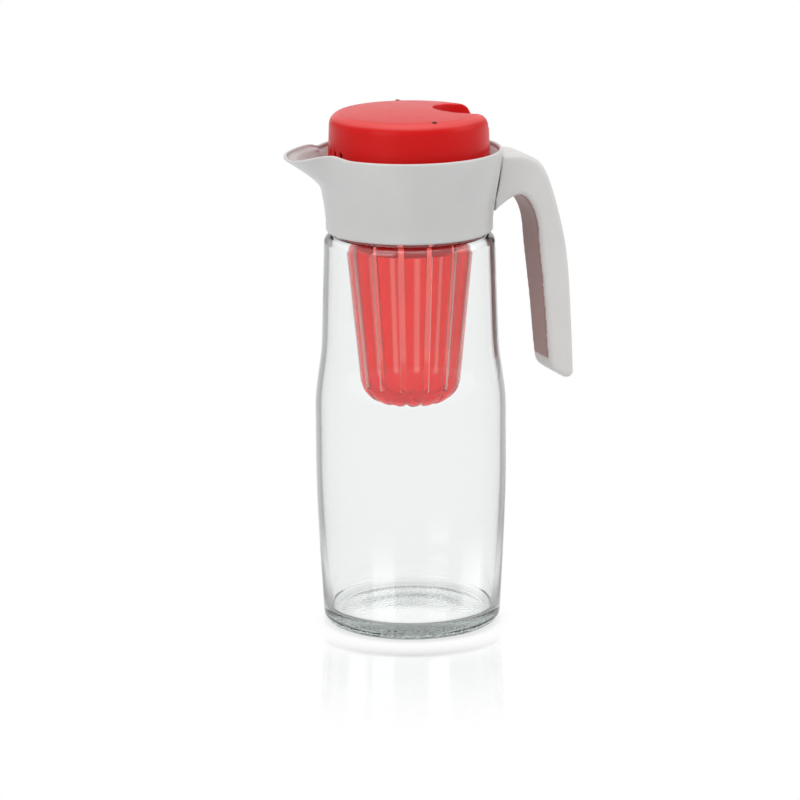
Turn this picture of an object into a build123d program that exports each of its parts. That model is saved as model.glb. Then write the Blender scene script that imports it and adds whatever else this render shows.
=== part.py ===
from build123d import *
from math import cos, radians, sin, sqrt
import os

os.makedirs("parts", exist_ok=True)

# Lengths are in millimetres and angles in degrees.
# The jar's axis is Z and its foot stands on Z = 0; the handle is at +X and the spout at -X.

# Glass jar
NECK_R = 40.0
NECK_WALL = 2.6
NECK_HEIGHT = 21.0
NECK_LIP_ROUND = 0.8
SHOULDER_Z = 208.0
SHOULDER_STEP = 4.6
SHOULDER_ROUND = 4.0
WAIST_SWELL = 1.6
WAIST_Z = 153.0
BELLY_SWELL = 3.8
BELLY_TOP_Z = 116.0
BELLY_LOW_Z = 90.0
FOOT_TAPER = 3.3
HEEL_ROUND = 6.5
FOOT_WIDTH = 4.0
FOOT_HOLLOW = 1.6
JAR_WALL = 2.8
JAR_FLOOR = 7.0
FLOOR_ROUND = 4.5
INNER_NECK_ROUND = 1.6

# Screw thread between the neck and the collar
THREAD_LEAD = 5.0
THREAD_HEIGHT = 1.4
THREAD_ROOT = 2.2
THREAD_CREST = 1.2
THREAD_GAP = 0.3
THREAD_START = 8.0
NECK_TURNS = 0.8
COLLAR_TURNS = 0.7

# Pouring collar
GASKET_T = 2.0
COLLAR_CLEAR = 2.0
COLLAR_WALL = 1.8
COLLAR_EDGE_ROUND = 1.4
COLLAR_BAND = 6.0
FLANGE_T = 2.5
OPENING_GAP = 0.3
BOWL_DEPTH = 19.5
GUTTER_W = 3.8
GUTTER_DEPTH = 5.5
RIM_WALL = 2.0
SPOUT_REACH = 23.0
SPOUT_HALF = 17.5
SPOUT_DEPTH = 21.0
SPOUT_RISE = 1.6
SPOUT_DIP = 1.0
SPOUT_KEY = 6.0
SPOUT_WALL = 2.2
LEDGE_EASE = 0.8

# Handle
HANDLE_DROP = 4.7
HANDLE_LENGTH = 123.0
ARM_DEPTH = 22.0
ARM_REACH = 8.3
GRIP_GAP = 23.6
GRIP_LEAN = 6.0
GRIP_THICK = 14.6
HANDLE_TOP_W = 29.0
HANDLE_FOOT_W = 23.5
HANDLE_ROUND = 3.0
FOOT_TIP_ROUND = 3.4
HANDLE_WALL = 2.4
COVER_T = 2.2
COVER_MARGIN = 2.2
COVER_FIT = 0.05
COVER_LEDGE = 1.2
TONGUE_W = 14.0
TONGUE_FLARE = 1.2
TONGUE_DEPTH = 1.8
TONGUE_BACK = 1.4
TONGUE_H = 13.0
TONGUE_FIT = 0.05

# Lid
SEAT_W = 4.9
SEAL_T = 2.0
SEAL_GAP = 0.3
TURN_GAP = 0.4
LID_WALL = 2.2
LID_SIDE = 30.1
LID_TAPER = 1.2
LID_HEIGHT = 38.1
LID_EDGE = 4.3
LID_ANGLE = -5.0
NOTCH_HALF = 16.0
NOTCH_END = 13.4
NOTCH_DEPTH = 9.9
NOTCH_ROUND = 4.0
DOT_R = 1.3
DOT_INSET = 6.3
DOT_FORWARD = 3.7
DOT_DROP = 2.1
COMB_SLOTS = 5
COMB_PITCH = 9.0
COMB_W = 2.6
COMB_LOW = 5.0
COMB_HIGH = 19.0

# Plug inside the lid, with the bayonet that holds the basket
PLUG_GAP = 1.0
PLUG_WALL = 2.0
PLUG_DEPTH = 13.5
PLUG_FLOOR = 2.5
PLUG_RISE = 9.0
PLUG_FIT = 0.05
SNAP_R = 0.35
SNAP_UP = 7.0
BEAD_OUT = 0.6
BEAD_H = 1.0
LUG_COUNT = 3
LUG_ARC = 12.0
LUG_H = 2.8
LUG_OUT = 1.7
LUG_RISE = 3.2
LUG_GAP = 0.3
LUG_TURN = 25.0
LUG_PLAY = 0.6
LUG_PHASE = 30.0

# Infuser basket
BASKET_GAP = 1.1
BASKET_FIT = 0.35
BASKET_WALL = 1.6
BAND_H = 15.3
BAND_STEP = 2.9
BAND_EASE = 2.0
UPSTAND = 10.5
CUP_DEPTH = 87.7
CUP_TAPER = 7.1
CUP_ROUND = 14.0
SLOT_COUNT = 14
SLOT_W = 3.1
SLOT_LOW = 9.0
SLOT_HIGH = 5.8
SLOT_PHASE = 10.8

# Radii that follow from the sizes above
NECK_BORE = NECK_R - NECK_WALL
SHOULDER_R = NECK_R + SHOULDER_STEP
WAIST_R = SHOULDER_R + WAIST_SWELL
BELLY_R = WAIST_R + BELLY_SWELL
BASE_R = BELLY_R - FOOT_TAPER
FOOT_R = BASE_R - HEEL_ROUND
SCREW_BORE = NECK_R + THREAD_HEIGHT + THREAD_GAP
COLLAR_R = SCREW_BORE + COLLAR_WALL
OPENING_R = NECK_BORE + OPENING_GAP
LID_R = OPENING_R + SEAT_W
BORE_R = LID_R + TURN_GAP
BOWL_R = BORE_R + GUTTER_W
RIM_R = BOWL_R + RIM_WALL
LID_BORE = LID_R - LID_WALL
DOT_OFFSET = LID_R - DOT_INSET
SPOUT_ROOT_R = BORE_R + SPOUT_WALL + 0.6
PLUG_R = OPENING_R - PLUG_GAP
PLUG_BORE = PLUG_R - PLUG_WALL
TUBE_R = PLUG_BORE - BASKET_FIT
TUBE_BORE = TUBE_R - BASKET_WALL
BAND_R = NECK_BORE - BASKET_GAP
CUP_R = BAND_R - BAND_STEP
CUP_LOW_R = CUP_R - CUP_TAPER
THREAD_UNDER = (THREAD_ROOT + THREAD_CREST) / 2 + THREAD_GAP
SPOUT_SHARES = (0.0, 0.28, 0.55, 0.8, 1.0)

# Heights that follow from the sizes above
NECK_TOP = SHOULDER_Z + NECK_HEIGHT
COLLAR_Z = SHOULDER_Z + COLLAR_CLEAR
FLANGE_LOW = NECK_TOP + GASKET_T
FLANGE_TOP = FLANGE_LOW + FLANGE_T
RIM_Z = FLANGE_TOP + BOWL_DEPTH
FLARE_Z = COLLAR_Z + COLLAR_BAND
SEAT_Z = FLANGE_TOP + SEAL_T
SIDE_Z = SEAT_Z + LID_SIDE
APEX_Z = SEAT_Z + LID_HEIGHT
SNAP_Z = SEAT_Z + SNAP_UP
SNAP_BORE = LID_BORE - LID_TAPER * SNAP_UP / LID_SIDE
TONGUE_Z = FLANGE_TOP
PLUG_LOW = SEAT_Z - PLUG_DEPTH
PLUG_TOP = SEAT_Z + PLUG_FLOOR
LUG_Z = PLUG_LOW + LUG_RISE
BAND_TOP = PLUG_LOW - LUG_GAP
BAND_LOW = BAND_TOP - BAND_H
CUP_LOW = BAND_LOW - CUP_DEPTH
HANDLE_TOP = RIM_Z - HANDLE_DROP
HANDLE_FOOT = HANDLE_TOP - HANDLE_LENGTH
ARCH_Z = HANDLE_TOP - ARM_DEPTH
ARCH_X = RIM_R + ARM_REACH
GRIP_X = BELLY_R + GRIP_GAP


def on_circle(radius, angle):
    return (radius * cos(radians(angle)), radius * sin(radians(angle)))


def spout_outline(level, inset):
    # Spout outline at a share of its depth: straight root inside the collar, round tip at -X.
    half = (SPOUT_HALF - inset) * (0.6 + 0.4 * level * (2 - level))
    tip = SPOUT_ROOT_R - inset + SPOUT_REACH * level**2 * (3 - 2 * level)
    root = SPOUT_ROOT_R - SPOUT_KEY
    run = tip - root
    Line((-root, 1.26 * half), (-root, -1.26 * half))
    Spline(
        (-root, -1.26 * half),
        (-root - 0.32 * run, -1.06 * half),
        (-root - 0.64 * run, -0.93 * half),
        (-root - 0.89 * run, -0.62 * half),
        (-tip, 0),
        (-root - 0.89 * run, 0.62 * half),
        (-root - 0.64 * run, 0.93 * half),
        (-root - 0.32 * run, 1.06 * half),
        (-root, 1.26 * half),
    )


def lip_outline():
    # Region above the spout's lip, seen from the side: the lip swells past the rim, then dips at the tip.
    root = SPOUT_ROOT_R - SPOUT_KEY
    tip = SPOUT_ROOT_R + SPOUT_REACH
    lid = RIM_Z + 3 * SPOUT_RISE
    Spline(
        (-root, RIM_Z),
        (-0.82 * root - 0.18 * tip, RIM_Z + 0.12 * SPOUT_RISE),
        (-0.55 * root - 0.45 * tip, RIM_Z + 0.88 * SPOUT_RISE),
        (-0.32 * root - 0.68 * tip, RIM_Z + 0.7 * SPOUT_RISE),
        (-tip, RIM_Z - SPOUT_DIP),
        (-tip - SPOUT_WALL, RIM_Z - 2.0 * SPOUT_DIP),
    )
    Polyline((-tip - SPOUT_WALL, RIM_Z - 2.0 * SPOUT_DIP), (-tip - SPOUT_WALL, lid), (-root, lid), (-root, RIM_Z))


def cover_taper(fit):
    # Front outline of the handle's cover, narrowed towards the foot as the handle is.
    top_half = HANDLE_TOP_W / 2 - COVER_MARGIN + fit
    foot_half = HANDLE_FOOT_W / 2 - COVER_MARGIN + fit
    Polygon(
        (-top_half, HANDLE_TOP + COVER_T),
        (top_half, HANDLE_TOP + COVER_T),
        (foot_half, HANDLE_FOOT - COVER_T),
        (-foot_half, HANDLE_FOOT - COVER_T),
        align=None,
    )


def sector(r_in, r_out, start, end):
    # Outline of a ring sector between two radii and two angles.
    middle = (start + end) / 2
    Line(on_circle(r_in, start), on_circle(r_out, start))
    ThreePointArc(on_circle(r_out, start), on_circle(r_out, middle), on_circle(r_out, end))
    Line(on_circle(r_out, end), on_circle(r_in, end))
    ThreePointArc(on_circle(r_in, end), on_circle(r_in, middle), on_circle(r_in, start))


def radial_plane(angle, radius, z):
    # Plane that faces outwards at an angle around the axis, with its Y up.
    a = radians(angle)
    return Plane(
        origin=(radius * cos(a), radius * sin(a), z),
        x_dir=(-sin(a), cos(a), 0),
        z_dir=(cos(a), sin(a), 0),
    )


def jar_body(inset, low, high):
    # Side of the jar from a foot height to the shoulder, moved in by the wall for the inside.
    Spline(
        (BASE_R - inset, low),
        (BELLY_R - inset, BELLY_LOW_Z),
        tangents=((0.05, 1), (0, 1)),
    )
    Line((BELLY_R - inset, BELLY_LOW_Z), (BELLY_R - inset, BELLY_TOP_Z))
    lean = (SHOULDER_R - WAIST_R, high - WAIST_Z)
    Spline(
        (BELLY_R - inset, BELLY_TOP_Z),
        (WAIST_R - inset, WAIST_Z),
        tangents=((0, 1), lean),
    )
    Line((WAIST_R - inset, WAIST_Z), (SHOULDER_R - inset, high))


def lid_outline(inset):
    # Side, rounded edge and crown of the lid, moved in by the wall for the inside.
    side_r = LID_R - LID_TAPER - inset
    crown_r = side_r - 1.3 * LID_EDGE
    crown_z = SIDE_Z + 1.5 * LID_EDGE - 0.9 * inset
    rise = APEX_Z - inset - crown_z
    dome_r = (crown_r**2 + rise**2) / (2 * rise)
    half_drop = dome_r - sqrt(dome_r**2 - crown_r**2 / 4)
    Line((LID_R - inset, SEAT_Z), (side_r, SIDE_Z))
    ThreePointArc(
        (side_r, SIDE_Z),
        (side_r - 0.27 * LID_EDGE, SIDE_Z + 0.88 * LID_EDGE - 0.45 * inset),
        (crown_r, crown_z),
    )
    ThreePointArc((crown_r, crown_z), (crown_r / 2, APEX_Z - inset - half_drop), (0, APEX_Z - inset))


def handle_back():
    # Points along the handle's top and outer side, from its root to its foot.
    back_x = GRIP_X + GRIP_THICK
    return [
        (BORE_R, HANDLE_TOP),
        (ARCH_X - 4.0, HANDLE_TOP),
        (ARCH_X + 3.4, HANDLE_TOP - 0.9),
        (ARCH_X + 10.3, HANDLE_TOP - 4.6),
        (back_x - 14.2, ARCH_Z + 6.0),
        (back_x - 9.3, ARCH_Z - 9.8),
        (back_x - 5.2, ARCH_Z - 28.0),
        (back_x - 2.2, HANDLE_FOOT + 43.0),
        (back_x - 0.7, HANDLE_FOOT + 15.0),
        (back_x, HANDLE_FOOT),
    ]


def handle_front():
    # Points along the handle's foot, inner side and arch, from its foot to its root.
    back_x = GRIP_X + GRIP_THICK
    grip_top = GRIP_X - GRIP_LEAN
    return [
        (back_x, HANDLE_FOOT),
        (back_x - 4.0, HANDLE_FOOT + 0.6),
        (GRIP_X + 0.4 * GRIP_THICK, HANDLE_FOOT + 3.0),
        (GRIP_X + 1.5, HANDLE_FOOT + 6.6),
        (GRIP_X, HANDLE_FOOT + 12.0),
        (GRIP_X - 0.45 * GRIP_LEAN, HANDLE_FOOT + 43.0),
        (grip_top, ARCH_Z - 26.0),
        (grip_top - 3.0, ARCH_Z - 9.0),
        (ARCH_X, ARCH_Z),
        (ARCH_X - 7.0, ARCH_Z - 2.4),
        (BORE_R, ARCH_Z - 8.0),
    ]


def moved_in(points, amount):
    # Inner points of a path, moved to its right, which is into the handle.
    result = []
    for before, here, after in zip(points, points[1:], points[2:]):
        dx = after[0] - before[0]
        dz = after[1] - before[1]
        run = sqrt(dx**2 + dz**2)
        result.append((here[0] + amount * dz / run, here[1] - amount * dx / run))
    return result


def strip_outline(outer, inner):
    # Band along the inner side of the grip, between two depths into the handle.
    face = moved_in(handle_front()[3:-1], outer)
    back = moved_in(handle_front()[3:-1], inner)
    Spline(*face)
    Line(face[-1], back[-1])
    Spline(*reversed(back))
    Line(back[0], face[0])


def tongue_outline(fit):
    # Dovetail between the handle and the back of the collar, wider inside than at the mouth.
    inner_x = BORE_R + TONGUE_BACK
    mouth = TONGUE_W / 2 + fit
    Polyline(
        (inner_x - fit, mouth + TONGUE_FLARE),
        (inner_x + TONGUE_DEPTH, mouth),
        (RIM_R + RIM_WALL, mouth),
        (RIM_R + RIM_WALL, -mouth),
        (inner_x + TONGUE_DEPTH, -mouth),
        (inner_x - fit, -mouth - TONGUE_FLARE),
        close=True,
    )


def notch_outline(grow):
    # Thumb notch seen from above: round inner end, open past the lid's edge at +X before it is turned.
    half = NOTCH_HALF + grow
    centre = NOTCH_END + NOTCH_HALF
    end = LID_R + 2 * LID_WALL
    ThreePointArc((centre, half), (centre - half, 0), (centre, -half))
    Polyline((centre, -half), (end, -half), (end, half), (centre, half))


# Glass jar with its screw neck
with BuildPart() as jar:
    with BuildSketch(Plane.XZ):
        with BuildLine():
            Polyline(
                (0, FOOT_HOLLOW),
                (FOOT_R - FOOT_WIDTH - 2 * FOOT_HOLLOW, FOOT_HOLLOW),
                (FOOT_R - FOOT_WIDTH, 0),
                (FOOT_R, 0),
            )
            TangentArc((FOOT_R, 0), (BASE_R, HEEL_ROUND), tangent=(1, 0))
            jar_body(0, HEEL_ROUND, SHOULDER_Z - SHOULDER_ROUND)
            TangentArc(
                (SHOULDER_R, SHOULDER_Z - SHOULDER_ROUND),
                (SHOULDER_R - SHOULDER_ROUND, SHOULDER_Z),
                tangent=(0, 1),
            )
            Polyline(
                (SHOULDER_R - SHOULDER_ROUND, SHOULDER_Z),
                (NECK_R, SHOULDER_Z),
                (NECK_R, NECK_TOP - NECK_LIP_ROUND),
            )
            TangentArc(
                (NECK_R, NECK_TOP - NECK_LIP_ROUND),
                (NECK_R - NECK_LIP_ROUND, NECK_TOP),
                tangent=(0, 1),
            )
            Line((NECK_R - NECK_LIP_ROUND, NECK_TOP), (NECK_BORE + NECK_LIP_ROUND, NECK_TOP))
            TangentArc(
                (NECK_BORE + NECK_LIP_ROUND, NECK_TOP),
                (NECK_BORE, NECK_TOP - NECK_LIP_ROUND),
                tangent=(-1, 0),
            )
            inner_step = SHOULDER_R - JAR_WALL - NECK_BORE
            inner_round = inner_step - INNER_NECK_ROUND
            inner_top = SHOULDER_Z - SHOULDER_ROUND + inner_step
            Line((NECK_BORE, NECK_TOP - NECK_LIP_ROUND), (NECK_BORE, inner_top))
            TangentArc(
                (NECK_BORE, inner_top),
                (NECK_BORE + INNER_NECK_ROUND, inner_top - INNER_NECK_ROUND),
                tangent=(0, -1),
            )
            TangentArc(
                (NECK_BORE + INNER_NECK_ROUND, inner_top - INNER_NECK_ROUND),
                (SHOULDER_R - JAR_WALL, SHOULDER_Z - SHOULDER_ROUND),
                tangent=(1, 0),
            )
            jar_body(JAR_WALL, JAR_FLOOR + FLOOR_ROUND, SHOULDER_Z - SHOULDER_ROUND)
            TangentArc(
                (BASE_R - JAR_WALL, JAR_FLOOR + FLOOR_ROUND),
                (BASE_R - JAR_WALL - FLOOR_ROUND, JAR_FLOOR),
                tangent=(0, -1),
            )
            Polyline(
                (BASE_R - JAR_WALL - FLOOR_ROUND, JAR_FLOOR),
                (0, JAR_FLOOR),
                (0, FOOT_HOLLOW),
            )
        make_face()
    revolve(axis=Axis.Z)
    with BuildLine() as neck_helix:
        Helix(
            pitch=THREAD_LEAD,
            height=THREAD_LEAD * NECK_TURNS,
            radius=NECK_R,
            center=(0, 0, SHOULDER_Z + THREAD_START),
        )
    with BuildSketch(Plane(origin=neck_helix.line @ 0, x_dir=(1, 0, 0), z_dir=neck_helix.line % 0)):
        Polygon(
            (-THREAD_GAP, -THREAD_ROOT / 2),
            (-THREAD_GAP, THREAD_ROOT / 2),
            (THREAD_HEIGHT, THREAD_CREST / 2),
            (THREAD_HEIGHT, -THREAD_CREST / 2),
            align=None,
        )
    sweep(path=neck_helix.line, is_frenet=True)
jar.part.label = "glass_jar"
export_step(jar.part, "parts/glass_jar.step")

# Flat gasket on the neck's top edge
with BuildPart() as gasket:
    with BuildSketch(Plane.XY.offset(NECK_TOP)):
        Circle(SCREW_BORE - THREAD_GAP)
        Circle(OPENING_R, mode=Mode.SUBTRACT)
    extrude(amount=GASKET_T)
gasket.part.label = "neck_gasket"
export_step(gasket.part, "parts/neck_gasket.step")

# Outer form of the collar, used by the collar and to trim the handle's root
with BuildPart() as collar_form:
    with BuildSketch(Plane.XZ):
        with BuildLine():
            Polyline(
                (RIM_R, RIM_Z),
                (0, RIM_Z),
                (0, COLLAR_Z),
                (COLLAR_R - COLLAR_EDGE_ROUND, COLLAR_Z),
            )
            TangentArc(
                (COLLAR_R - COLLAR_EDGE_ROUND, COLLAR_Z),
                (COLLAR_R, COLLAR_Z + COLLAR_EDGE_ROUND),
                tangent=(1, 0),
            )
            Line((COLLAR_R, COLLAR_Z + COLLAR_EDGE_ROUND), (COLLAR_R, FLARE_Z))
            Spline(
                (COLLAR_R, FLARE_Z),
                (0.44 * COLLAR_R + 0.56 * RIM_R, 0.58 * FLARE_Z + 0.42 * RIM_Z),
                (RIM_R, RIM_Z),
                tangents=((0.08, 1), (0.08, 1)),
            )
        make_face()
    revolve(axis=Axis.Z)
    for share in SPOUT_SHARES:
        with BuildSketch(Plane.XY.offset(RIM_Z + SPOUT_RISE - SPOUT_DEPTH * (1 - share))):
            with BuildLine():
                spout_outline(share, 0)
            make_face()
    loft()
    with BuildSketch(Plane.XZ.offset(-2 * SPOUT_HALF)):
        with BuildLine():
            lip_outline()
        make_face()
    extrude(amount=4 * SPOUT_HALF, mode=Mode.SUBTRACT)

# Pouring collar: bowl, bore, flange, screw skirt and spout channel cut from the outer form
with BuildPart() as collar:
    add(collar_form.part)
    with BuildSketch(Plane.XZ):
        with BuildLine():
            Polyline(
                (0, RIM_Z + RIM_WALL),
                (BOWL_R, RIM_Z + RIM_WALL),
                (BOWL_R, RIM_Z - RIM_WALL),
                (BORE_R + LEDGE_EASE, RIM_Z - GUTTER_DEPTH),
                (BORE_R, RIM_Z - GUTTER_DEPTH - LEDGE_EASE),
                (BORE_R, FLANGE_TOP),
                (OPENING_R, FLANGE_TOP),
                (OPENING_R, FLANGE_LOW),
                (SCREW_BORE, FLANGE_LOW),
                (SCREW_BORE, COLLAR_Z - COLLAR_CLEAR),
                (0, COLLAR_Z - COLLAR_CLEAR),
                close=True,
            )
        make_face()
    revolve(axis=Axis.Z, mode=Mode.SUBTRACT)
    for share in SPOUT_SHARES:
        lift = SPOUT_DEPTH * (1 - share) - 1.15 * SPOUT_WALL
        with BuildSketch(Plane.XY.offset(RIM_Z + SPOUT_RISE - lift)):
            with BuildLine():
                spout_outline(share, SPOUT_WALL)
            make_face()
    loft(mode=Mode.SUBTRACT)
    with BuildSketch(Plane.XY.offset(TONGUE_Z)):
        with BuildLine():
            tongue_outline(TONGUE_FIT)
        make_face()
    extrude(amount=TONGUE_H + TONGUE_FIT, mode=Mode.SUBTRACT)
    with BuildLine() as collar_helix:
        Helix(
            pitch=THREAD_LEAD,
            height=THREAD_LEAD * COLLAR_TURNS,
            radius=SCREW_BORE,
            center=(0, 0, SHOULDER_Z + THREAD_START - THREAD_UNDER),
        )
    with BuildSketch(
        Plane(origin=collar_helix.line @ 0, x_dir=(1, 0, 0), z_dir=collar_helix.line % 0)
    ):
        Polygon(
            (THREAD_GAP, -THREAD_ROOT / 2),
            (THREAD_GAP, THREAD_ROOT / 2),
            (THREAD_GAP / 3 - THREAD_HEIGHT, THREAD_CREST / 2),
            (THREAD_GAP / 3 - THREAD_HEIGHT, -THREAD_CREST / 2),
            align=None,
        )
    sweep(path=collar_helix.line, is_frenet=True)
collar.part.label = "pouring_collar"
export_step(collar.part, "parts/pouring_collar.step")

# Outer form of the handle: side outline narrowed towards the foot, long edges rounded
with BuildSketch(Plane.XZ) as handle_outline:
    with BuildLine():
        Spline(*handle_back())
        Spline(*handle_front())
        Line(handle_front()[-1], handle_back()[0])
    make_face()
    fillet(handle_outline.vertices().sort_by(Axis.Y)[0], FOOT_TIP_ROUND)
with BuildPart() as handle_form:
    extrude(Pos(0, HANDLE_TOP_W, 0) * handle_outline.sketch, amount=2 * HANDLE_TOP_W)
    with BuildSketch(Plane.YZ):
        Polygon(
            (-HANDLE_TOP_W / 2, HANDLE_TOP + COVER_T),
            (HANDLE_TOP_W / 2, HANDLE_TOP + COVER_T),
            (HANDLE_FOOT_W / 2, HANDLE_FOOT - COVER_T),
            (-HANDLE_FOOT_W / 2, HANDLE_FOOT - COVER_T),
            align=None,
        )
    extrude(amount=GRIP_X + 2 * GRIP_THICK, mode=Mode.INTERSECT)
    side_faces = handle_form.faces().sort_by(Axis.Y)
    long_edges = side_faces[0].edges() + side_faces[-1].edges()
    fillet([e for e in long_edges if e.center().X > BORE_R + RIM_WALL], HANDLE_ROUND)

# Pocket for the cover on the inner side of the grip
with BuildPart() as pocket:
    with BuildSketch(Plane.XZ.offset(-HANDLE_TOP_W)):
        with BuildLine():
            strip_outline(-COVER_T, COVER_T)
        make_face()
    extrude(amount=2 * HANDLE_TOP_W)
    with BuildSketch(Plane.YZ):
        cover_taper(COVER_FIT)
    extrude(amount=GRIP_X + 2 * GRIP_THICK, mode=Mode.INTERSECT)

# Handle shell: hollow grip with a pocket for its cover and a dovetail tongue at the root
with BuildPart() as handle:
    add(handle_form.part)
    hollow_face = moved_in(handle_front()[3:-1], COVER_T / 2)
    hollow_back = moved_in(handle_back()[1:], HANDLE_WALL)
    hollow_half = HANDLE_FOOT_W / 2 - COVER_MARGIN - COVER_LEDGE
    with BuildSketch(Plane.XZ.offset(-hollow_half)):
        with BuildLine():
            Spline(*hollow_face)
            Line(hollow_face[-1], hollow_back[0])
            Spline(*hollow_back)
            Line(hollow_back[-1], hollow_face[0])
        make_face()
    extrude(amount=2 * hollow_half, mode=Mode.SUBTRACT)
    add(pocket.part, mode=Mode.SUBTRACT)
    add(collar_form.part, mode=Mode.SUBTRACT)
    with BuildSketch(Plane.XY.offset(TONGUE_Z)):
        with BuildLine():
            tongue_outline(0)
        make_face()
    extrude(amount=TONGUE_H)
handle.part.label = "handle_shell"
export_step(handle.part, "parts/handle_shell.step")

# Cover strip that closes the hollow grip on its inner side
with BuildPart() as cover:
    with BuildSketch(Plane.XZ.offset(-HANDLE_TOP_W)):
        with BuildLine():
            strip_outline(0, COVER_T)
        make_face()
    extrude(amount=2 * HANDLE_TOP_W)
    with BuildSketch(Plane.YZ):
        cover_taper(0)
    extrude(amount=GRIP_X + 2 * GRIP_THICK, mode=Mode.INTERSECT)
cover.part.label = "handle_cover"
export_step(cover.part, "parts/handle_cover.step")

# Thumb notch of the lid, and the same notch grown by the wall for the hollow under it
with BuildPart() as notch:
    with BuildSketch(Plane.XY.offset(APEX_Z - NOTCH_DEPTH)):
        with BuildLine():
            notch_outline(0)
        make_face()
    extrude(amount=2 * NOTCH_DEPTH)
    fillet(notch.faces().sort_by(Axis.Z)[0].edges(), NOTCH_ROUND)
with BuildPart() as notch_wall:
    with BuildSketch(Plane.XY.offset(APEX_Z - NOTCH_DEPTH - LID_WALL)):
        with BuildLine():
            notch_outline(LID_WALL)
        make_face()
    extrude(amount=2 * NOTCH_DEPTH)
    fillet(notch_wall.faces().sort_by(Axis.Z)[0].edges(), NOTCH_ROUND)
with BuildPart() as cap_hollow:
    with BuildSketch(Plane.XZ):
        with BuildLine():
            lid_outline(LID_WALL)
            Polyline((0, APEX_Z - LID_WALL), (0, SEAT_Z), (LID_BORE, SEAT_Z))
        make_face()
    revolve(axis=Axis.Z)
    add(notch_wall.part, rotation=(0, 0, LID_ANGLE), mode=Mode.SUBTRACT)

# Lid cap: dome with the thumb notch, strainer slots on the spout side and two raised dots
with BuildPart() as cap:
    with BuildSketch(Plane.XZ):
        with BuildLine():
            lid_outline(0)
            Polyline((0, APEX_Z), (0, SEAT_Z), (LID_R, SEAT_Z))
        make_face()
    revolve(axis=Axis.Z)
    add(notch.part, rotation=(0, 0, LID_ANGLE), mode=Mode.SUBTRACT)
    add(cap_hollow.part, mode=Mode.SUBTRACT)
    with BuildSketch(Plane.XZ):
        with Locations((SNAP_BORE, SNAP_Z)):
            Circle(SNAP_R + PLUG_FIT)
    revolve(axis=Axis.Z, mode=Mode.SUBTRACT)
    for k in range(COMB_SLOTS):
        turn = 180 + LID_ANGLE + (k - (COMB_SLOTS - 1) / 2) * COMB_PITCH
        middle_z = SEAT_Z + (COMB_LOW + COMB_HIGH) / 2
        with BuildSketch(radial_plane(turn, LID_BORE - LID_WALL - LID_TAPER, middle_z)):
            SlotOverall(COMB_HIGH - COMB_LOW, COMB_W, rotation=90)
        extrude(amount=3 * LID_WALL + LID_TAPER, mode=Mode.SUBTRACT)
    dot_z = APEX_Z - DOT_DROP
    with Locations(Location((0, 0, dot_z), (0, 0, LID_ANGLE))):
        with Locations((DOT_FORWARD, DOT_OFFSET), (DOT_FORWARD, -DOT_OFFSET)):
            Sphere(DOT_R)
cap.part.label = "lid_cap"
export_step(cap.part, "parts/lid_cap.step")

# Plug in the lid: seat ring, upright wall with a gap at the strainer, skirt with bayonet slots
plug_out = LID_BORE - PLUG_FIT
plug_out_top = plug_out - LID_TAPER * (PLUG_FLOOR + PLUG_RISE) / LID_SIDE
bead_top = FLANGE_TOP - OPENING_GAP
with BuildPart() as plug:
    with BuildSketch(Plane.XZ):
        with BuildLine():
            Polyline(
                (PLUG_BORE, PLUG_LOW),
                (PLUG_R, PLUG_LOW),
                (PLUG_R, bead_top - BEAD_H),
                (PLUG_R + BEAD_OUT, bead_top - BEAD_H / 2),
                (PLUG_R + BEAD_OUT, bead_top),
                (PLUG_R, bead_top),
                (PLUG_R, SEAT_Z),
                (plug_out, SEAT_Z),
                (plug_out_top, PLUG_TOP + PLUG_RISE),
                (plug_out_top - PLUG_WALL, PLUG_TOP + PLUG_RISE),
                (plug_out_top - PLUG_WALL, PLUG_TOP),
                (PLUG_BORE, PLUG_TOP),
                close=True,
            )
        make_face()
    revolve(axis=Axis.Z)
    with BuildSketch(Plane.XZ):
        with Locations((SNAP_BORE - PLUG_FIT, SNAP_Z)):
            Circle(SNAP_R)
    revolve(axis=Axis.Z)
    gap_middle = 180 + LID_ANGLE
    gap_half = COMB_SLOTS * COMB_PITCH / 2
    with BuildSketch(Plane.XY.offset(PLUG_TOP)):
        with BuildLine():
            sector(PLUG_R, LID_R, gap_middle - gap_half, gap_middle + gap_half)
        make_face()
    extrude(amount=2 * PLUG_RISE, mode=Mode.SUBTRACT)
    for k in range(LUG_COUNT):
        lug_start = LUG_PHASE + k * 360 / LUG_COUNT - LUG_ARC / 2 - LUG_PLAY
        lug_end = LUG_PHASE + k * 360 / LUG_COUNT + LUG_ARC / 2 + LUG_PLAY
        with BuildSketch(Plane.XY.offset(LUG_Z - LUG_GAP)):
            with BuildLine():
                sector(TUBE_BORE, OPENING_R, lug_start, lug_end + LUG_TURN)
            make_face()
        extrude(amount=LUG_H + 2 * LUG_GAP, mode=Mode.SUBTRACT)
        with BuildSketch(Plane.XY.offset(PLUG_LOW - LUG_GAP)):
            with BuildLine():
                sector(TUBE_BORE, OPENING_R, lug_start + LUG_TURN, lug_end + LUG_TURN)
            make_face()
        extrude(amount=LUG_RISE + LUG_H, mode=Mode.SUBTRACT)
plug.part.label = "lid_plug"
export_step(plug.part, "parts/lid_plug.step")

# Seal ring that the lid turns on
with BuildPart() as seal:
    with BuildSketch(Plane.XY.offset(FLANGE_TOP)):
        Circle(BORE_R - SEAL_GAP)
        Circle(PLUG_R + SEAL_GAP, mode=Mode.SUBTRACT)
    extrude(amount=SEAL_T)
seal.part.label = "lid_seal"
export_step(seal.part, "parts/lid_seal.step")

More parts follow.
